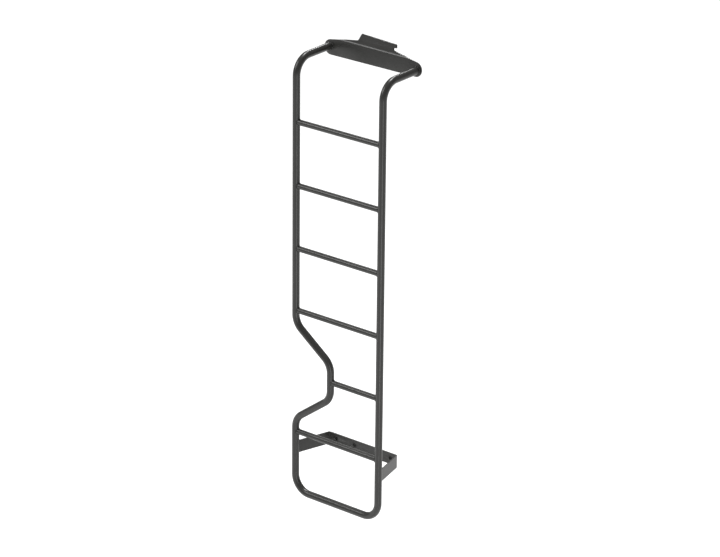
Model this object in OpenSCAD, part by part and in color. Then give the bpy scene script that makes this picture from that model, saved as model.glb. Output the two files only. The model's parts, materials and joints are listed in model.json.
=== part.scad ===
// Rear door ladder in bent steel tube, hung on the door's top edge and bolted on lower down.
// Millimetres. +Z is up, +X is the climber's right and +Y points at the door.
// The origin is on the door's face, midway between the two outer door bolts.

/* [Tube frame] */
// Outer diameter of the frame tube
tube_d = 32; // [30:1:36]
// Wall of the frame tube
tube_wall = 2; // [1.5:0.5:3]
// Distance between the centres of the two rails
rail_spacing = 462; // [440:1:500]
// Bend radius at the tube's centre line
bend_r = 78; // [70:1:85]
// Height of the left top corner above the bottom bar, centre to centre
left_height = 1951.5; // [1940:0.5:1965]
// Height of the right top corner, which is a little lower, as the door's edge falls off
right_height = 1940.5; // [1930:0.5:1950]
// Angle at which the top stubs rise towards the door
stub_rise = 2; // [0:0.1:3]
// Distance from the rails' centres to the face of the top plate
stub_reach = 213; // [200:1:230]

/* [Handle relief] */
// How far the left rail jogs inwards to pass beside the door handle
relief_inset = 194.4; // [170:0.2:200]
// Height of the middle of the jog above the bottom bar
relief_height = 560.5; // [555:0.5:565]
// Height of the jog where it is deepest, corner to corner
relief_inner = 158; // [140:1:165]
// Height of the jog at the rail line, corner to corner
relief_outer = 443; // [430:1:450]

/* [Rungs] */
// Step height, from one rung's centre to the next
rung_pitch = 280; // [278:1:282]
// Outer diameter of a rung
rung_d = 25; // [22:1:28]
// Wall of a rung
rung_wall = 1.5; // [1:0.5:2]

/* [Top bracket] */
// Height of the plate's middle above the bottom bar
plate_height = 1951.5; // [1945:0.5:1958]
// How far the plate reaches left and right of the centre
plate_left = 261; // [258:0.5:265]
plate_right = 256.5; // [254:0.5:262]
// Thickness of the folded plate
plate_t = 4; // [3:0.5:5]
// Radii of the plate's round ends
left_end_r = 33; // [30:0.5:34]
right_end_r = 31.5; // [28:0.5:34]
// Distance from the plate's middle height down to its lower edge
plate_drop = 31.5; // [30:0.5:33]
// Height of the fold above the plate's middle
fold_rise = 41.5; // [38:0.5:45]
// Angle of the flange above the horizontal
flange_rise = 45; // [40:1:50]
// Slope of the fold line, down towards the right
fold_tilt = 0.76; // [0:0.02:1]
// Slope of the hook's crest against the fold line
hook_skew = 2; // [0:0.1:3]
// Outer radius of the fold
fold_r = 14; // [10:1:16]
// Width of the hook
hook_w = 186; // [160:1:200]
// How far the hook sits right of the centre
hook_shift = 2; // [-4:1:4]
// Length of the flange up to the hook's bend, at the middle
hook_reach = 45; // [40:1:50]
// Outer radius of the hook's bend
hook_r = 7; // [6:0.5:8]
// Length of the hook's straight lip
lip_len = 11; // [8:1:16]

/* [Lower bracket] */
// Thickness of the folded strip
strip_t = 5; // [4:0.5:6]
// Height of the web that lies along the door
web_h = 50; // [46:1:54]
// How far the arms stand above and below the web
arm_extra_top = 1; // [0:0.5:2]
arm_extra_bottom = 6; // [0:0.5:8]
// Width of the bracket over its rear corners
web_w = 381; // [370:1:386]
// Distance from the rails' centres to the door face
door_gap = 180; // [170:1:190]
// Height of the bolt row above the bottom bar
bolt_row = 203; // [195:1:210]
// Angle at which each arm spreads from the web to its rail
arm_splay = 14.6; // [13.5:0.1:15.5]
// Outer radius of the strip's bends
strip_r = 6.5; // [6:0.5:10]

/* [Fixings] */
// Spacing of the two outer door bolts
bolt_spacing = 300; // [280:5:320]
// How far the third door bolt sits left of the middle
bolt_third = 50; // [40:5:60]
// Bolt shank diameter
bolt_d = 8; // [6:1:8]
// Pitch diameter of the bolt's thread, behind the pad
thread_d = 7.2; // [5.4:0.1:7.2]
// Bolt length under the head
bolt_len = 30; // [25:5:40]
// Thickness of the rubber pad behind the web
pad_t = 3; // [2:0.5:4]

/* [Hidden] */
$fn = 64;
steel = [0.25, 0.25, 0.24];
zinc = [0.55, 0.56, 0.57];
rubber = [0.1, 0.1, 0.1];
rail_x = rail_spacing / 2;
rail_y = -door_gap;
bar_z = -bolt_row;
left_z = bar_z + left_height;
right_z = bar_z + right_height;
plate_z = bar_z + plate_height;
left_end = [left_end_r - plate_left, left_end_r - plate_drop];
right_end = [plate_right - right_end_r, right_end_r - plate_drop];
plate_y = rail_y + stub_reach;
relief_x = relief_inset - rail_x;
relief_z = bar_z + relief_height;
joint_gap = 0.05;
// Straight lengths run this far into the bends, which are a hair thicker, so that they join cleanly
lap = 1;
swell = 0.1;
shoulder_left = 9.5;
shoulder_right = 10;
fold_back = fold_r * tan(flange_rise / 2);
flange_foot_z = fold_rise + fold_back * sin(flange_rise);
hook_left = hook_shift - hook_w / 2;
hook_right = hook_shift + hook_w / 2;
neck_r = 9;
edge_step = 0.5;
lining_t = 2;
strip_back = strip_r * tan((90 - arm_splay) / 2);
arm_len = (door_gap - pad_t - tube_d / 2 + 2) / cos(arm_splay);
bolt_x = [-bolt_spacing / 2, -bolt_third, bolt_spacing / 2];
washer_t = 2;
washer_d = 24;
head_af = 13;
head_h = 5.5;
head_y = -pad_t - strip_t - washer_t;

// Centre line of the frame tube, from the left stub round to the right stub
frame_line = [
    [-rail_x, plate_y + 1, left_z + (stub_reach + 1) * tan(stub_rise)],
    [-rail_x, rail_y, left_z],
    [-rail_x, rail_y, relief_z + relief_outer / 2],
    [relief_x, rail_y, relief_z + relief_inner / 2],
    [relief_x, rail_y, relief_z - relief_inner / 2],
    [-rail_x, rail_y, relief_z - relief_outer / 2],
    [-rail_x, rail_y, bar_z],
    [rail_x, rail_y, bar_z],
    [rail_x, rail_y, right_z],
    [rail_x, plate_y + 1, right_z + (stub_reach + 1) * tan(stub_rise)]
];

function unit(v) = v / norm(v);
function turn_at(line, i) = let (u = unit(line[i] - line[i - 1]), v = unit(line[i + 1] - line[i])) acos(u * v);
// Distance from the centre at which a shoulder of angle a from the point p meets the flange's foot
function shoulder_end(p, a, tilt) = (abs(p.x) * tan(a) + p.y - flange_foot_z) / (tan(a) + tan(tilt));
function setback(line, i) = i == 0 || i == len(line) - 1 ? 0 : bend_r * tan(turn_at(line, i) / 2);

// Puts the child in a frame with the given axes and origin
module placed(x_axis, y_axis, z_axis, origin) {
    multmatrix([
        [x_axis.x, y_axis.x, z_axis.x, origin.x],
        [x_axis.y, y_axis.y, z_axis.y, origin.y],
        [x_axis.z, y_axis.z, z_axis.z, origin.z],
        [0, 0, 0, 1]
    ]) children();
}

// One straight length of round bar between two points
module straight(from, to, r) {
    along = unit(to - from);
    side = abs(along.y) > 0.5 ? [1, 0, 0] : [0, 1, 0];
    placed(side, cross(along, side), along, from) cylinder(h = norm(to - from), r = r);
}

// One bend of round bar at corner i of the line
module bend(line, i, r) {
    u = unit(line[i] - line[i - 1]);
    v = unit(line[i + 1] - line[i]);
    start = line[i] - u * setback(line, i);
    axis = unit(cross(u, v));
    outward = cross(u, axis);
    placed(outward, u, axis, start - outward * bend_r)
        rotate_extrude(angle = turn_at(line, i), $fn = 96) translate([bend_r, 0]) circle(r = r + swell);
}

// Round bar along a line with rounded corners
module bent_bar(line, r) {
    for (i = [0 : len(line) - 2]) {
        u = unit(line[i + 1] - line[i]);
        from = setback(line, i) - (i == 0 ? 0 : lap);
        to = setback(line, i + 1) - (i == len(line) - 2 ? 0 : lap);
        straight(line[i] + u * from, line[i + 1] - u * to, r);
    }
    for (i = [1 : len(line) - 2]) bend(line, i, r);
}

// The bent tube: both rails, the bottom bar and the two top stubs in one length
module frame_tube() {
    color(steel) difference() {
        bent_bar(frame_line, tube_d / 2);
        bent_bar(frame_line, tube_d / 2 - tube_wall);
        translate([-rail_spacing, plate_y, right_z - tube_d])
            cube([2 * rail_spacing, tube_d, 4 * tube_d]);
    }
}

// One rung, coped to the rails at both ends
module rung(i) {
    z = bar_z + i * rung_pitch;
    left_x = abs(z - relief_z) < relief_inner / 2 ? relief_x : -rail_x;
    color(steel) difference() {
        translate([left_x, rail_y, z]) rotate([0, 90, 0]) cylinder(h = rail_x - left_x, d = rung_d);
        translate([left_x - 1, rail_y, z]) rotate([0, 90, 0])
            cylinder(h = rail_x - left_x + 2, d = rung_d - 2 * rung_wall);
        for (x = [left_x, rail_x]) translate([x, rail_y, z - rung_d])
            cylinder(h = 2 * rung_d, r = tube_d / 2 + joint_gap);
    }
}

module rung_1() rung(1);
module rung_2() rung(2);
module rung_3() rung(3);
module rung_4() rung(4);
module rung_5() rung(5);
module rung_6() rung(6);

// Frame of the fold: x runs along the fold line, y to the door, z up from the fold's corner
module at_fold() {
    translate([0, plate_y, plate_z + fold_rise]) rotate([0, fold_tilt, 0]) children();
}

// Frame of the flange: x along the fold, y up the flange's slope, z out of its upper face
module on_flange() {
    at_fold() rotate([flange_rise, 0, 0]) children();
}

// Carries a profile drawn in the y-z plane along x
module along_x(from, to) {
    translate([from, 0, 0]) rotate([90, 0, 90]) linear_extrude(to - from) children();
}

// Points on an arc, from angle a to angle b
function arc(centre, r, a, b, steps = 12) =
    [for (i = [0 : steps]) let (t = a + (b - a) * i / steps) centre + r * [cos(t), sin(t)]];

// Where a point of the flange, x along the fold and s up the slope, shows in the front outline
function from_front(p) = let (rise = p.y * sin(flange_rise))
    [p.x * cos(fold_tilt) + rise * sin(fold_tilt), fold_rise - p.x * sin(fold_tilt) + rise * cos(fold_tilt)];

// Side view of the sheet about the fold: the plate below, the round fold and the flange above
module sheet_section() {
    far = 2 * hook_reach;
    centre = [fold_r, -fold_back];
    polygon(concat(
        [[0, -2 * far]],
        arc(centre, fold_r, 180, 180 - flange_rise),
        [far * [cos(flange_rise), sin(flange_rise)]],
        [far * [cos(flange_rise), sin(flange_rise)] + plate_t * [sin(flange_rise), -cos(flange_rise)]],
        arc(centre, fold_r - plate_t, 180 - flange_rise, 180),
        [[plate_t, -2 * far]]
    ));
}

// Front outline of the plate about its middle: round ends, rising shoulders and the neck
module bracket_outline() {
    left_top = left_end + left_end_r * [-sin(shoulder_left), cos(shoulder_left)];
    right_top = right_end + right_end_r * [sin(shoulder_right), cos(shoulder_right)];
    left = -shoulder_end(left_top, shoulder_left, fold_tilt);
    right = shoulder_end(right_top, shoulder_right, -fold_tilt);
    a = shoulder_left + fold_tilt;
    b = shoulder_right - fold_tilt;
    left_foot = fold_back + (hook_left - left) * tan(a);
    right_foot = fold_back + (right - hook_right) * tan(b);
    polygon(concat(
        arc(left_end, left_end_r, 90 + shoulder_left, 270, 24),
        arc(right_end, right_end_r, -90, 90 - shoulder_right, 24),
        [from_front([right, fold_back])],
        [for (p = arc([hook_right + neck_r, right_foot + neck_r / cos(b) - neck_r * tan(b)],
                      neck_r, 270 - b, 180)) from_front(p)],
        [from_front([hook_right, 2 * hook_reach]), from_front([hook_left, 2 * hook_reach])],
        [for (p = arc([hook_left - neck_r, left_foot + neck_r / cos(a) - neck_r * tan(a)],
                      neck_r, 0, a - 90)) from_front(p)],
        [from_front([left, fold_back])]
    ));
}

// Frame of the hook: x along its crest, y up the slope, z out of the flange's upper face
module at_hook() {
    on_flange() translate([0, hook_reach, 0]) rotate([0, 0, -hook_skew]) children();
}

// Hook section: a flat leg under the flange, a round bend over the door's edge and a lip hanging down
module hook_section(r, t, leg) {
    centre = [0, -hook_r];
    lip = -lip_len * [sin(flange_rise), cos(flange_rise)];
    polygon(concat(
        [centre + [-leg, r]],
        arc(centre, r, 90, -flange_rise),
        [centre + lip + r * [cos(flange_rise), -sin(flange_rise)]],
        [centre + lip + (r - t) * [cos(flange_rise), -sin(flange_rise)]],
        arc(centre, r - t, -flange_rise, 90),
        [centre + [-leg, r - t]]
    ));
}

// The folded plate that joins the stubs and hooks over the door's top edge
module top_bracket() {
    color(steel) {
        intersection() {
            at_fold() along_x(-rail_spacing, rail_spacing) sheet_section();
            translate([0, plate_y + 2 * hook_reach, plate_z]) rotate([90, 0, 0])
                linear_extrude(3 * hook_reach) bracket_outline();
            at_hook() translate([-rail_spacing, -rail_spacing, -rail_spacing])
                cube([2 * rail_spacing, rail_spacing, 2 * rail_spacing]);
        }
        at_hook() along_x(hook_left + edge_step, hook_right - edge_step)
            hook_section(hook_r, plate_t, edge_step);
    }
}

// Rubber strip that lines the hook and keeps the steel off the door's paint
module hook_lining() {
    color(rubber) at_hook() along_x(hook_left + 2 * edge_step, hook_right - 2 * edge_step)
        hook_section(hook_r - plate_t - joint_gap, lining_t, lip_len);
}

// Right half of the lower bracket's strip in plan: the corner bend and the splayed arm
function half_strip() =
    let (
        centre = [web_w / 2 - strip_back, -pad_t - strip_r],
        normal = [cos(arm_splay), sin(arm_splay)],
        arm_end = centre + (arm_len - strip_back) * [sin(arm_splay), -cos(arm_splay)]
    )
    concat(
        arc(centre, strip_r, 90, arm_splay),
        [arm_end + strip_r * normal, arm_end + (strip_r - strip_t) * normal],
        arc(centre, strip_r - strip_t, arm_splay, 90)
    );

// Round bolt holes through a plate in the web's plane
module bolt_holes() {
    for (x = bolt_x) translate([x, 1, 0]) rotate([90, 0, 0]) cylinder(h = 4 * strip_t, d = bolt_d + 1);
}

// The bent strip that stands the rails off the door: web, two corner bends and two arms
module lower_bracket() {
    arm_bottom = -web_h / 2 - arm_extra_bottom;
    arm_top = web_h / 2 + arm_extra_top;
    half = half_strip();
    other_half = [for (i = [1 : len(half)]) let (p = half[len(half) - i]) [-p.x, p.y]];
    flat_w = web_w - 2 * strip_back;
    color(steel) difference() {
        translate([0, 0, arm_bottom]) linear_extrude(arm_top - arm_bottom) polygon(concat(half, other_half));
        for (z = [-web_h, web_h / 2]) translate([-flat_w / 2, -pad_t - strip_t - 1, z])
            cube([flat_w, strip_t + 2, web_h / 2]);
        bolt_holes();
        for (side = [-1, 1]) translate([side * rail_x, rail_y, -web_h])
            cylinder(h = 2 * web_h, r = tube_d / 2 + joint_gap);
    }
}

// Rubber pad between the web and the door's face
module door_pad() {
    color(rubber) difference() {
        translate([strip_r - web_w / 2, -pad_t, -web_h / 2]) cube([web_w - 2 * strip_r, pad_t, web_h]);
        bolt_holes();
    }
}

// Flat washers under the three bolt heads
module bolt_washers() {
    color(zinc) for (x = bolt_x) translate([x, head_y, 0]) rotate([-90, 0, 0]) difference() {
        cylinder(h = washer_t, d = washer_d);
        translate([0, 0, -1]) cylinder(h = washer_t + 2, d = bolt_d + 0.4);
    }
}

// The three hexagon bolts that go through the web and the pad into the door
module door_bolts() {
    color(zinc) for (x = bolt_x) translate([x, head_y, 0]) {
        rotate([-90, 0, 0]) cylinder(h = -head_y, d = bolt_d);
        rotate([-90, 0, 0]) cylinder(h = bolt_len, d = thread_d);
        rotate([90, 0, 0]) cylinder(h = head_h, d = head_af / cos(30), $fn = 6);
    }
}

frame_tube();
rung_1();
rung_2();
rung_3();
rung_4();
rung_5();
rung_6();
top_bracket();
hook_lining();
lower_bracket();
door_pad();
bolt_washers();
door_bolts();
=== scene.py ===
import json
import math

import bmesh
import bpy
from mathutils import Matrix, Vector


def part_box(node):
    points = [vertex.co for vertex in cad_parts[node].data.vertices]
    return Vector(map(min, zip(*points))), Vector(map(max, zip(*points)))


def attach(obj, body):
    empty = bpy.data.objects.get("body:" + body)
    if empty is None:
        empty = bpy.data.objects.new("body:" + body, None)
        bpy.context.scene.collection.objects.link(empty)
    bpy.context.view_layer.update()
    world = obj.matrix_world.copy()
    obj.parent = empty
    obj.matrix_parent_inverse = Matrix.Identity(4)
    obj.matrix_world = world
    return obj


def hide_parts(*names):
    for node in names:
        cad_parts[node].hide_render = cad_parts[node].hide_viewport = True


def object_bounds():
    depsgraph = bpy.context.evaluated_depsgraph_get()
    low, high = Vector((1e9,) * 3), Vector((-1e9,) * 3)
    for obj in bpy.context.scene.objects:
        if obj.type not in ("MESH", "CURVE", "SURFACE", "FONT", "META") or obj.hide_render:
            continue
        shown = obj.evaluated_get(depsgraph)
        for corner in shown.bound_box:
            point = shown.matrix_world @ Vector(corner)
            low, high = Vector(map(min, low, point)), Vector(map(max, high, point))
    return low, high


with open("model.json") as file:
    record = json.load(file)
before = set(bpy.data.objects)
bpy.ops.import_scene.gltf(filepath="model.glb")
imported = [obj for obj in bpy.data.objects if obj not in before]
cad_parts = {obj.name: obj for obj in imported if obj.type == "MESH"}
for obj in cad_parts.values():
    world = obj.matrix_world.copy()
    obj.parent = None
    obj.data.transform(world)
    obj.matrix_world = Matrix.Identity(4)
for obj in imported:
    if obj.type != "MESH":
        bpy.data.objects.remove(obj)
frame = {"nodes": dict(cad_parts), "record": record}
cad_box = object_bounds()

# ---- Frame tube ------------------------------------------------------------------------------
# One length of 32 mm steel tube, bent cold round a 78 mm former: two rails, the bottom bar, the
# jog of the left rail that clears the door handle, and two stubs that rise a little to the door.
# It is shot-blasted and powder coated in satin black, which leaves a fine orange peel.


class Flow:
    """A value on its way between the nodes of one tree; sums and products of it add Math nodes."""

    def __init__(self, socket):
        self.socket = socket

    def math(self, operation, first, second=0.0):
        return place(self.socket.id_data, "ShaderNodeMath", {"operation": operation}, {0: first, 1: second})

    def __add__(self, other):
        return self.math("ADD", self, other)

    def __sub__(self, other):
        return self.math("SUBTRACT", self, other)

    def __rsub__(self, other):
        return self.math("SUBTRACT", other, self)

    def __mul__(self, other):
        return self.math("MULTIPLY", self, other)

    def __truediv__(self, other):
        return self.math("DIVIDE", self, other)

    __radd__ = __add__
    __rmul__ = __mul__


def place(tree, kind, settings, sockets, out=0):
    """Adds a node, sets it up, fills its sockets with values or links, and returns one output."""
    node = tree.nodes.new(kind)
    for name, value in settings.items():
        setattr(node, name, value)
    for name, value in sockets.items():
        if isinstance(value, Flow):
            tree.links.new(value.socket, node.inputs[name])
        else:
            node.inputs[name].default_value = value
    return Flow(node.outputs[out]) if node.outputs else None


def grain(tree, scale, detail=2.0):
    """Noise from 0 to 1 whose grains are 1/scale metres across, fixed to the piece."""
    where = place(tree, "ShaderNodeTexCoord", {}, {}, out=3)
    return place(tree, "ShaderNodeTexNoise", {}, {"Vector": where, "Scale": scale, "Detail": detail})


def above(tree, value, low, high):
    """0 below low, 1 above high and smooth between."""
    return place(tree, "ShaderNodeMapRange", {"interpolation_type": "SMOOTHSTEP"},
                 {"Value": value, "From Min": low, "From Max": high})


def blend_of(tree, factor, first, second):
    """A colour that goes from first to second."""
    return place(tree, "ShaderNodeMix", {"data_type": "RGBA"}, {0: factor, 6: first, 7: second}, out=2)


def bumps(tree, height, depth, under=None):
    """Raises the surface by up to depth metres where height is 1."""
    sockets = {"Height": height, "Distance": depth, "Strength": 1.0}
    if under is not None:
        sockets["Normal"] = under
    return place(tree, "ShaderNodeBump", {}, sockets)


def start_finish(name):
    """An empty finish: its material and its node tree."""
    finish = bpy.data.materials.new(name)
    finish.use_nodes = True
    finish.node_tree.nodes.clear()
    return finish, finish.node_tree


def close_finish(tree, sockets):
    """Ends a finish's tree in one surface."""
    surface = place(tree, "ShaderNodeBsdfPrincipled", {}, sockets)
    place(tree, "ShaderNodeOutputMaterial", {}, {"Surface": surface})


def make_powder_coat():
    """Satin black powder coat: orange peel, fine grit, cloudy tone, and wear where worn is 1."""
    finish, tree = start_finish("powder_coat")
    worn = place(tree, "ShaderNodeAttribute", {"attribute_name": "worn"}, {}, out=2)
    cloud = grain(tree, 9, 3)
    peel = grain(tree, 520, 2)
    grit = grain(tree, 2600, 1)
    specks = above(tree, grain(tree, 900, 1), 0.69, 0.76)
    rubbed = worn * above(tree, grain(tree, 160, 4), 0.42, 0.72)
    tone = blend_of(tree, cloud * 0.75 + grit * 0.25, (0.0160, 0.0158, 0.0148, 1), (0.0340, 0.0337, 0.0317, 1))
    tone = blend_of(tree, specks * 0.40, tone, (0.070, 0.070, 0.068, 1))
    tone = blend_of(tree, rubbed * 0.50, tone, (0.100, 0.098, 0.094, 1))
    matt = 0.25 + cloud * 0.06 + grit * 0.04 - rubbed * 0.04
    relief = bumps(tree, grit, 0.000015, bumps(tree, peel, 0.00006))
    close_finish(tree, {"Base Color": tone, "Roughness": matt, "Normal": relief, "Specular IOR Level": 0.36})
    return finish


powder_coat = make_powder_coat()


def start_tree(name, sizes):
    """A tree for a modifier, with one named input for each size, and the inputs by name."""
    tree = bpy.data.node_groups.new(name, "GeometryNodeTree")
    tree.interface.new_socket("Geometry", in_out="INPUT", socket_type="NodeSocketGeometry")
    tree.interface.new_socket("Geometry", in_out="OUTPUT", socket_type="NodeSocketGeometry")
    for size, kind in sizes.items():
        tree.interface.new_socket(size, in_out="INPUT", socket_type="NodeSocket" + kind)
    entry = tree.nodes.new("NodeGroupInput")
    return tree, {socket.name: Flow(socket) for socket in entry.outputs if socket.name}


def close_tree(tree, geometry, finish):
    """Ends a tree in real, smooth faces with their finish on."""
    solid = place(tree, "GeometryNodeRealizeInstances", {}, {"Geometry": geometry})
    smooth = place(tree, "GeometryNodeSetShadeSmooth", {}, {"Geometry": solid, "Shade Smooth": True})
    painted = place(tree, "GeometryNodeSetMaterial", {}, {"Geometry": smooth, "Material": finish})
    place(tree, "NodeGroupOutput", {}, {"Geometry": painted})


def put_in_scene(name, mesh):
    """A piece at the origin, with its place in its mesh."""
    piece = bpy.data.objects.new(name, mesh)
    bpy.context.scene.collection.objects.link(piece)
    return piece


def sharpen(mesh, degrees):
    """Keeps edges crisp where the surface turns by more than this."""
    mesh.set_sharp_from_angle(angle=math.radians(degrees))


def grow(name, start, tree, sizes):
    """Runs a tree on a starting mesh at these sizes, and returns the plain piece that it makes."""
    seed = put_in_scene(name + "_start", start)
    modifier = seed.modifiers.new("made", "NODES")
    modifier.node_group = tree
    for socket in tree.interface.items_tree:
        if socket.name in sizes:
            modifier[socket.identifier] = sizes[socket.name]
    made = seed.evaluated_get(bpy.context.evaluated_depsgraph_get())
    mesh = bpy.data.meshes.new_from_object(made)
    bpy.data.objects.remove(seed)
    skin = bmesh.new()
    skin.from_mesh(mesh)
    bmesh.ops.remove_doubles(skin, verts=skin.verts, dist=1e-7)
    bmesh.ops.recalc_face_normals(skin, faces=skin.faces)
    skin.to_mesh(mesh)
    skin.free()
    mesh.name = name
    return put_in_scene(name, mesh)


def wire(name, runs):
    """A mesh of bare edges along each run of points; a run that ends where it starts is closed."""
    points, edges = [], []
    for run in runs:
        ring = (Vector(run[0]) - Vector(run[-1])).length < 1e-6
        kept = run[:-1] if ring else run
        first = len(points)
        points += [tuple(p) for p in kept]
        edges += [(first + i, first + i + 1) for i in range(len(kept) - 1)]
        if ring:
            edges.append((len(points) - 1, first))
    mesh = bpy.data.meshes.new(name)
    mesh.from_pydata(points, edges, [])
    return mesh


tube_r = 0.016
bend_r = 0.078
rail_x = 0.231
rail_y = sum(v.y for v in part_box("rung_1")) / 2
plate_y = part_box("frame_tube")[1].y
bar_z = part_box("frame_tube")[0].z + tube_r
stub_angle = math.radians(2)
stub_rise = math.tan(stub_angle)
stub_reach = plate_y - rail_y
right_corner_drop = 0.011
top_z = {-1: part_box("frame_tube")[1].z - tube_r / math.cos(stub_angle) - stub_reach * stub_rise}
top_z[1] = top_z[-1] - right_corner_drop
jog_z = bar_z + 0.5605
jog_deep = 0.079
jog_wide = 0.2215
saddle_depth = 0.01007
jog_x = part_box("rung_2")[0].x - saddle_depth
weld_depth = 0.001


def stub_end(side, past=0.0):
    """Where a stub's centre line meets the plate, or a point that far beyond."""
    return Vector((side * rail_x, plate_y + past, top_z[side] + (stub_reach + past) * stub_rise))


corners = [
    stub_end(-1, weld_depth),
    (-rail_x, rail_y, top_z[-1]),
    (-rail_x, rail_y, jog_z + jog_wide),
    (jog_x, rail_y, jog_z + jog_deep),
    (jog_x, rail_y, jog_z - jog_deep),
    (-rail_x, rail_y, jog_z - jog_wide),
    (-rail_x, rail_y, bar_z),
    (rail_x, rail_y, bar_z),
    (rail_x, rail_y, top_z[1]),
    stub_end(1, weld_depth),
]


def plan_bent_tube():
    """The tree that rounds the corners of a line and draws a tube along it."""
    tree, given = start_tree("bent_tube", {"Tube radius": "Float", "Bend radius": "Float",
                                           "Steps in a bend": "Int", "Sides": "Int"})
    line = place(tree, "GeometryNodeMeshToCurve", {}, {"Mesh": given["Geometry"]})
    line = place(tree, "GeometryNodeFilletCurve", {"mode": "POLY"},
                 {"Curve": line, "Count": given["Steps in a bend"], "Radius": given["Bend radius"]})
    ring = place(tree, "GeometryNodeCurvePrimitiveCircle", {},
                 {"Resolution": given["Sides"], "Radius": given["Tube radius"]})
    skin = place(tree, "GeometryNodeCurveToMesh", {}, {"Curve": line, "Profile Curve": ring, "Fill Caps": True})
    close_tree(tree, skin, powder_coat)
    return tree


frame_tube = grow("frame_tube_bent", wire("frame_line", [corners]), plan_bent_tube(),
                  {"Tube radius": tube_r, "Bend radius": bend_r, "Steps in a bend": 26, "Sides": 64})
sharpen(frame_tube.data, 40)
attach(frame_tube, "root")
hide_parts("frame_tube")

# ---- Rungs -----------------------------------------------------------------------------------
# Six lengths of 25 mm steel tube, sawn, coped to the curve of the rails and welded all round.
# Boots rub the coat a little brighter on top of them, away from the ends.

rung_r = 0.0125
rung_names = ["rung_1", "rung_2", "rung_3", "rung_4", "rung_5", "rung_6"]


def plan_rung():
    """The tree that draws one coped rung between two rails."""
    tree, given = start_tree("coped_rung", {"Rung radius": "Float", "Rail radius": "Float", "Left rail": "Float",
                                            "Right rail": "Float", "Depth": "Float", "Height": "Float",
                                            "Sides": "Int", "Lengths": "Int"})
    rod = place(tree, "GeometryNodeMeshCylinder", {"fill_type": "NGON"},
                {"Vertices": given["Sides"], "Side Segments": given["Lengths"],
                 "Radius": given["Rung radius"], "Depth": 1.0})
    spot = place(tree, "GeometryNodeInputPosition", {}, {})
    apart = tree.nodes.new("ShaderNodeSeparateXYZ")
    tree.links.new(spot.socket, apart.inputs[0])
    down, back, along = (Flow(apart.outputs[i]) for i in range(3))
    share = along + 0.5
    rest = given["Rail radius"] * given["Rail radius"] - back * back
    saddle = rest.math("SQRT", rest)
    from_x = given["Left rail"] + saddle
    to_x = given["Right rail"] - saddle
    laid = place(tree, "ShaderNodeCombineXYZ", {}, {"X": from_x + share * (to_x - from_x),
                                                   "Y": given["Depth"] + back, "Z": given["Height"] - down})
    top = above(tree, (0.0 - down) / given["Rung radius"], 0.45, 0.95)
    middle = above(tree, share * (1.0 - share), 0.05, 0.20)
    rod = place(tree, "GeometryNodeStoreNamedAttribute", {"data_type": "FLOAT", "domain": "POINT"},
                {"Geometry": rod, "Name": "worn", "Value": top * middle * 0.8})
    rod = place(tree, "GeometryNodeSetPosition", {}, {"Geometry": rod, "Position": laid})
    close_tree(tree, rod, powder_coat)
    return tree


rung_tree = plan_rung()
bead_lines = []
for name in rung_names:
    height = sum(v.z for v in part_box(name)) / 2
    left_x = jog_x if name == "rung_2" else -rail_x
    rung = grow(name + "_tube", wire(name + "_start", [[(0, 0, 0), (0, 0, 0.001)]]), rung_tree,
                {"Rung radius": rung_r, "Rail radius": tube_r, "Left rail": left_x, "Right rail": rail_x,
                 "Depth": rail_y, "Height": height, "Sides": 48, "Lengths": 24})
    sharpen(rung.data, 40)
    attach(rung, "root")
    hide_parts(name)
    for centre, side in ((left_x, 1), (rail_x, -1)):
        ring = []
        for i in range(49):
            turn = math.tau * i / 48
            y, z = (rung_r + 0.0006) * math.sin(turn), (rung_r + 0.0006) * math.cos(turn)
            reach = math.sqrt((tube_r + 0.0004) ** 2 - y * y)
            ring.append((centre + side * reach, rail_y + y, height + z))
        ring[-1] = ring[0]
        bead_lines.append(ring)

# The fillet welds round the rungs' ends: TIG beads 4 mm wide, laid in small overlapping drops and
# coated with the rest.


def plan_weld_bead():
    """The tree that lays a rippled bead along every line it is given."""
    tree, given = start_tree("weld_bead", {"Bead radius": "Float", "Ripple": "Float", "Ripple depth": "Float",
                                           "Unevenness": "Float", "Seed": "Float"})
    line = place(tree, "GeometryNodeMeshToCurve", {}, {"Mesh": given["Geometry"]})
    line = place(tree, "GeometryNodeResampleCurve", {"mode": "LENGTH"},
                 {"Curve": line, "Length": given["Ripple"] / 5})
    run = place(tree, "GeometryNodeSplineParameter", {}, {}, out=1)
    phase = run * math.tau / given["Ripple"]
    drops = phase.math("SINE", phase)
    where = place(tree, "GeometryNodeInputPosition", {}, {})
    noise = place(tree, "ShaderNodeTexNoise", {"noise_dimensions": "4D"},
                  {"Vector": where, "W": given["Seed"], "Scale": 160.0, "Detail": 1.0})
    width = 1.0 + drops * given["Ripple depth"] + (noise - 0.5) * given["Unevenness"]
    ring = place(tree, "GeometryNodeCurvePrimitiveCircle", {}, {"Resolution": 9, "Radius": given["Bead radius"]})
    bead = place(tree, "GeometryNodeCurveToMesh", {},
                 {"Curve": line, "Profile Curve": ring, "Scale": width, "Fill Caps": True})
    close_tree(tree, bead, powder_coat)
    return tree


weld_tree = plan_weld_bead()


def lay_weld(name, lines, radius, seed):
    """One welder's run: beads along these lines, as one piece."""
    bead = grow(name, wire(name + "_lines", lines), weld_tree,
                {"Bead radius": radius, "Ripple": 0.0022, "Ripple depth": 0.09, "Unevenness": 0.5, "Seed": seed})
    sharpen(bead.data, 60)
    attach(bead, "root")
    return bead


lay_weld("rung_welds", bead_lines, 0.0019, 1.0)

# ---- Top bracket -----------------------------------------------------------------------------
# One 4 mm steel plate, laser cut and folded: an upright plate with round ends, a flange that slopes
# up to the door, and a hook at the end of its neck. Both stubs are welded to it all round.


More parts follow.
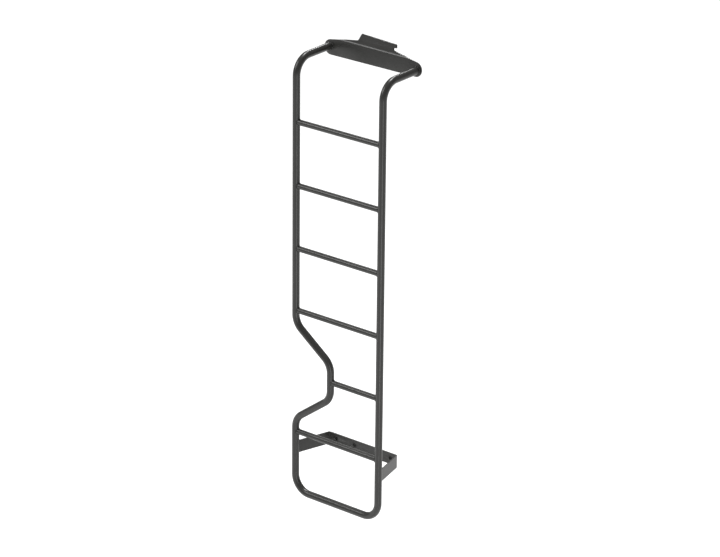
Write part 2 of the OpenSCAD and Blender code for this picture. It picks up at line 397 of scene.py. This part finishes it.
def soften(name, node, edge, finish, turn=25, crisp=15):
    """A copy of a CAD node as one skin, with its sharp edges rounded and marked as worn."""
    shape = bmesh.new()
    shape.from_mesh(frame["nodes"][node].data)
    bmesh.ops.remove_doubles(shape, verts=shape.verts, dist=1e-6)
    bmesh.ops.dissolve_limit(shape, angle_limit=math.radians(0.4), verts=shape.verts, edges=shape.edges)
    sharp = [e for e in shape.edges if len(e.link_faces) == 2 and e.calc_face_angle() > math.radians(turn)]
    made = bmesh.ops.bevel(shape, geom=sharp, offset=edge, segments=3, profile=0.5, affect="EDGES",
                           clamp_overlap=True)
    worn = shape.loops.layers.float.new("worn")
    for face in made["faces"]:
        for corner in face.loops:
            corner[worn] = 1.0
    for face in shape.faces:
        face.smooth = True
    bmesh.ops.triangulate(shape, faces=[f for f in shape.faces if len(f.verts) > 4])
    mesh = bpy.data.meshes.new(name)
    shape.to_mesh(mesh)
    shape.free()
    sharpen(mesh, crisp)
    mesh.materials.append(finish)
    piece = put_in_scene(name, mesh)
    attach(piece, "root")
    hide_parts(node)
    return piece


top_bracket = soften("top_bracket_folded", "top_bracket", 0.0005, powder_coat)

stub_rings = []
for side in (-1, 1):
    end = stub_end(side)
    ring = [end + Vector(((tube_r + 0.0008) * math.sin(math.tau * i / 64), -0.0004,
                          (tube_r + 0.0008) * math.cos(math.tau * i / 64))) for i in range(64)]
    stub_rings.append(ring + [ring[0]])
lay_weld("stub_welds", stub_rings, 0.0022, 2.0)

# ---- Hook lining -----------------------------------------------------------------------------
# A 2 mm strip of black EPDM, moulded to the inside of the hook and glued in, so that the steel
# doesn't mark the door's paint.


def make_rubber():
    """Matt black rubber with a fine grain and dusty patches."""
    finish, tree = start_finish("rubber")
    dust = above(tree, grain(tree, 35, 4), 0.45, 0.75)
    pores = grain(tree, 1500, 2)
    tone = blend_of(tree, dust * 0.5 + pores * 0.2, (0.014, 0.014, 0.014, 1), (0.045, 0.044, 0.042, 1))
    matt = 0.72 + dust * 0.14
    close_finish(tree, {"Base Color": tone, "Roughness": matt, "Normal": bumps(tree, pores, 0.00005),
                        "Specular IOR Level": 0.35})
    return finish


rubber = make_rubber()
hook_lining = soften("hook_lining_strip", "hook_lining", 0.0003, rubber)

# ---- Lower bracket ---------------------------------------------------------------------------
# One 5 mm steel strip, punched for the bolts and bent at two corners: a web along the door and two
# arms, cut to the rails' curve and welded to them on both faces.

lower_bracket = soften("lower_bracket_strip", "lower_bracket", 0.0006, powder_coat)

arm_lines = []
toe = 0.0006
end_gap = 0.003
for side in (-1, 1):
    axis = Vector((side * rail_x, rail_y, 0))
    touching = [v.co for v in frame["nodes"]["lower_bracket"].data.vertices
                if abs((v.co - axis).to_2d().length - tube_r) < 0.0003]
    inner = min(touching, key=lambda p: side * p.x)
    outer = max(touching, key=lambda p: side * p.x)
    foot = min(p.z for p in touching)
    head = max(p.z for p in touching)
    for face in (inner, outer):
        step = (Vector((face.x, face.y, 0)) - axis).to_2d().normalized() * toe
        shift = toe if face is outer else -toe
        x, y = face.x + step.x + side * shift, face.y + step.y
        arm_lines.append([(x, y, foot + end_gap + (head - foot - 2 * end_gap) * i / 12) for i in range(13)])
lay_weld("arm_welds", arm_lines, 0.0024, 3.0)

# ---- Door pad --------------------------------------------------------------------------------
# A 3 mm strip of the same rubber, punched for the bolts, between the web and the door's face.

door_pad = soften("door_pad_strip", "door_pad", 0.0004, rubber)

# ---- Washers ---------------------------------------------------------------------------------
# Three flat M8 washers, stamped from steel and zinc plated in black, one under each bolt head.


def make_black_zinc():
    """Black zinc plating: dark metal, a little uneven."""
    finish, tree = start_finish("black_zinc")
    patches = grain(tree, 240, 4)
    turned = grain(tree, 1400, 2)
    tone = blend_of(tree, patches, (0.035, 0.035, 0.036, 1), (0.085, 0.084, 0.080, 1))
    matt = 0.30 + patches * 0.16
    close_finish(tree, {"Base Color": tone, "Metallic": 1.0, "Roughness": matt,
                        "Normal": bumps(tree, turned, 0.00002)})
    return finish


black_zinc = make_black_zinc()
washer_lo, washer_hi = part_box("bolt_washers")
washer_r = (washer_hi.z - washer_lo.z) / 2
hole_r = 0.0042
holes = {mount["name"]: mount for mount in frame["record"]["mounts"]}
outer_x = holes["door_bolts_outer"]["dims"]["spacing_x_mm"] / 2000
third_x = holes["door_bolt_third"]["pos_m"][0]
bolt_points = [(-outer_x, 0, 0), (third_x, 0, 0), (outer_x, 0, 0)]


def plan_washers():
    """The tree that turns one washer with rolled edges and puts it on every bolt's place."""
    tree, given = start_tree("washers", {"Middle radius": "Float", "Band": "Float", "Thickness": "Float",
                                         "Edge": "Float", "Depth": "Float"})
    ring = place(tree, "GeometryNodeCurvePrimitiveCircle", {},
                 {"Resolution": 64, "Radius": given["Middle radius"]})
    band = place(tree, "GeometryNodeCurvePrimitiveQuadrilateral", {},
                 {"Width": given["Band"], "Height": given["Thickness"]})
    band = place(tree, "GeometryNodeFilletCurve", {"mode": "POLY"},
                 {"Curve": band, "Count": 3, "Radius": given["Edge"]})
    washer = place(tree, "GeometryNodeCurveToMesh", {}, {"Curve": ring, "Profile Curve": band})
    spots = place(tree, "GeometryNodeInstanceOnPoints", {},
                  {"Points": given["Geometry"], "Instance": washer, "Rotation": (math.pi / 2, 0, 0)})
    shift = place(tree, "ShaderNodeCombineXYZ", {}, {"Y": given["Depth"]})
    laid = place(tree, "GeometryNodeSetPosition", {}, {"Geometry": spots, "Offset": shift})
    close_tree(tree, laid, black_zinc)
    return tree


bolt_spots = bpy.data.meshes.new("bolt_spots")
bolt_spots.from_pydata(bolt_points, [], [])
washers = grow("door_washers", bolt_spots.copy(), plan_washers(),
               {"Middle radius": (washer_r + hole_r) / 2, "Band": washer_r - hole_r,
                "Thickness": washer_hi.y - washer_lo.y, "Edge": 0.0003, "Depth": (washer_lo.y + washer_hi.y) / 2})
sharpen(washers.data, 50)
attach(washers, "root")
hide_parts("bolt_washers")

# ---- Door bolts ------------------------------------------------------------------------------
# Three M8 hexagon bolts, cold headed with a chamfered top and a washer face, thread rolled, and
# plated like the washers. They go through web and pad into the door.

bolt_lo, bolt_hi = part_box("door_bolts")
head_base = washer_lo.y
across_flats = 0.013
shank_r = 0.004
thread_r = 0.0036
thread_pitch = 0.00125
thread_depth = 0.00050
sides = 48


def cold_head_bolt():
    """The skin of one bolt on the line x = z = 0, from its head to its tip."""
    shape = bmesh.new()
    turns = [math.tau * i / sides for i in range(sides)]
    crown = 0.47 * across_flats

    def hexagon(turn):
        return across_flats / 2 / math.cos((turn % (math.pi / 3)) - math.pi / 6)

    def ring(radius, depth):
        return [shape.verts.new((radius(t) * math.sin(t), depth(t), radius(t) * math.cos(t))) for t in turns]

    def thread(y, t):
        share = ((y / thread_pitch) - t / math.tau) % 1.0
        return thread_r - thread_depth * abs(2 * share - 1)

    rows = [
        ring(lambda t: 0.6 * crown, lambda t: bolt_lo.y + 0.0002),
        ring(lambda t: 0.7 * crown, lambda t: bolt_lo.y),
        ring(lambda t: crown, lambda t: bolt_lo.y),
        ring(hexagon, lambda t: bolt_lo.y + 0.0002 + (hexagon(t) - crown) * math.tan(math.radians(30))),
        ring(hexagon, lambda t: head_base - 0.0004),
        ring(lambda t: 0.485 * across_flats, lambda t: head_base - 0.0003),
        ring(lambda t: 0.485 * across_flats, lambda t: head_base),
        ring(lambda t: shank_r, lambda t: head_base),
        ring(lambda t: shank_r, lambda t: 0.0),
    ]
    steps = int((bolt_hi.y - 0.0012) / thread_pitch * 6)
    for i in range(steps + 1):
        y = 0.0002 + (bolt_hi.y - 0.0012) * i / steps
        rows.append(ring(lambda t, y=y: thread(y, t), lambda t, y=y: y))
    rows.append(ring(lambda t: 0.0030, lambda t: bolt_hi.y))
    for lower, upper in zip(rows, rows[1:]):
        for i in range(sides):
            j = (i + 1) % sides
            shape.faces.new((lower[i], lower[j], upper[j], upper[i]))
    shape.faces.new(rows[0])
    shape.faces.new(rows[-1])
    bmesh.ops.recalc_face_normals(shape, faces=shape.faces)
    mesh = bpy.data.meshes.new("bolt_shape")
    shape.to_mesh(mesh)
    shape.free()
    return mesh


def plan_bolts():
    """The tree that puts one bolt on every bolt's place, each turned as the spanner left it."""
    tree, given = start_tree("bolts", {"Bolt": "Object", "Seed": "Int"})
    shape = place(tree, "GeometryNodeObjectInfo", {}, {"Object": given["Bolt"]}, out=4)
    angle = place(tree, "FunctionNodeRandomValue", {"data_type": "FLOAT"},
                  {2: 0.0, 3: math.pi / 3, "Seed": given["Seed"]}, out=1)
    turn = place(tree, "ShaderNodeCombineXYZ", {}, {"Y": angle})
    spots = place(tree, "GeometryNodeInstanceOnPoints", {},
                  {"Points": given["Geometry"], "Instance": shape, "Rotation": turn})
    close_tree(tree, spots, black_zinc)
    return tree


one_bolt = put_in_scene("one_bolt", cold_head_bolt())
bolts = grow("hexagon_bolts", bolt_spots.copy(), plan_bolts(), {"Bolt": one_bolt, "Seed": 4})
bpy.data.objects.remove(one_bolt)
sharpen(bolts.data, 28)
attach(bolts, "root")
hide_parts("door_bolts")

# ---- Studio ----------------------------------------------------------------------------------
# A plain white floor as far below the bottom bar as the ground is below a van's door, a pale dome,
# one broad light overhead that lights the floor evenly, soft boxes high up in front and behind,
# and a tall narrow strip that stands by the right rail.

floor_mesh = bpy.data.meshes.new("floor")
ground_gap = 0.6
floor_z = cad_box[0].z - ground_gap
floor_half = 60
floor_corners = [(-1, -1), (1, -1), (1, 1), (-1, 1)]
floor_mesh.from_pydata([(x * floor_half, y * floor_half, floor_z) for x, y in floor_corners], [], [(0, 1, 2, 3)])
paper, paper_tree = start_finish("studio_paper")
fibres = grain(paper_tree, 60, 3)
white = blend_of(paper_tree, fibres, (0.90, 0.90, 0.90, 1), (0.93, 0.93, 0.93, 1))
close_finish(paper_tree, {"Base Color": white, "Roughness": 0.9, "Specular IOR Level": 0.1})
floor_mesh.materials.append(paper)
floor = put_in_scene("floor", floor_mesh)

world = bpy.data.worlds.new("studio")
bpy.context.scene.world = world
world.use_nodes = True
world.node_tree.nodes["Background"].inputs["Color"].default_value = (1.0, 1.0, 1.0, 1)
world.node_tree.nodes["Background"].inputs["Strength"].default_value = 0.33


def hang_light(name, kind, at, aim, settings):
    """A light that faces the ladder."""
    lamp = bpy.data.lights.new(name, kind)
    for setting, value in settings.items():
        setattr(lamp, setting, value)
    box = bpy.data.objects.new(name, lamp)
    box.location = at
    box.rotation_euler = (Vector(aim) - Vector(at)).to_track_quat("-Z", "Y").to_euler()
    bpy.context.scene.collection.objects.link(box)


middle = (cad_box[0] + cad_box[1]) / 2
hang_light("overhead_panel", "SUN", middle + Vector((-1.0, 1.6, 6.0)), middle,
           {"energy": 2.75, "angle": math.radians(16)})
hang_light("front_box", "AREA", middle + Vector((-3.4, -4.2, 4.6)), middle,
           {"shape": "SQUARE", "size": 3.0, "energy": 235})
hang_light("back_box", "AREA", middle + Vector((-3.0, 3.9, 4.6)), middle + Vector((0, 0, 0.9)),
           {"shape": "RECTANGLE", "size": 0.9, "size_y": 0.5, "energy": 85})
hang_light("standing_strip", "AREA", middle + Vector((1.6, -1.25, -0.5)), middle + Vector((0, 0, -0.5)),
           {"shape": "RECTANGLE", "size": 0.12, "size_y": 2.0, "energy": 13})

azimuth, elevation, roll = math.radians(39.678), math.radians(21.514), math.radians(-0.588)
look = Vector((-math.sin(azimuth) * math.cos(elevation), math.cos(azimuth) * math.cos(elevation),
               -math.sin(elevation)))
level = Vector((math.cos(azimuth), math.sin(azimuth), 0))
under = look.cross(level)
across = level * math.cos(roll) + under * math.sin(roll)
downward = under * math.cos(roll) - level * math.sin(roll)
lens = bpy.data.cameras.new("camera")
lens.sensor_width = 36
lens.lens = 158.68
lens.clip_end = 200
camera = bpy.data.objects.new("camera", lens)
turned = Matrix((across, -downward, -look)).transposed()
stand = Vector((7.9272, -9.5915, 5.6904))
camera.matrix_world = Matrix.Translation(stand) @ turned.to_4x4()
bpy.context.scene.collection.objects.link(camera)
bpy.context.scene.camera = camera
bpy.context.scene.view_settings.view_transform = "Standard"
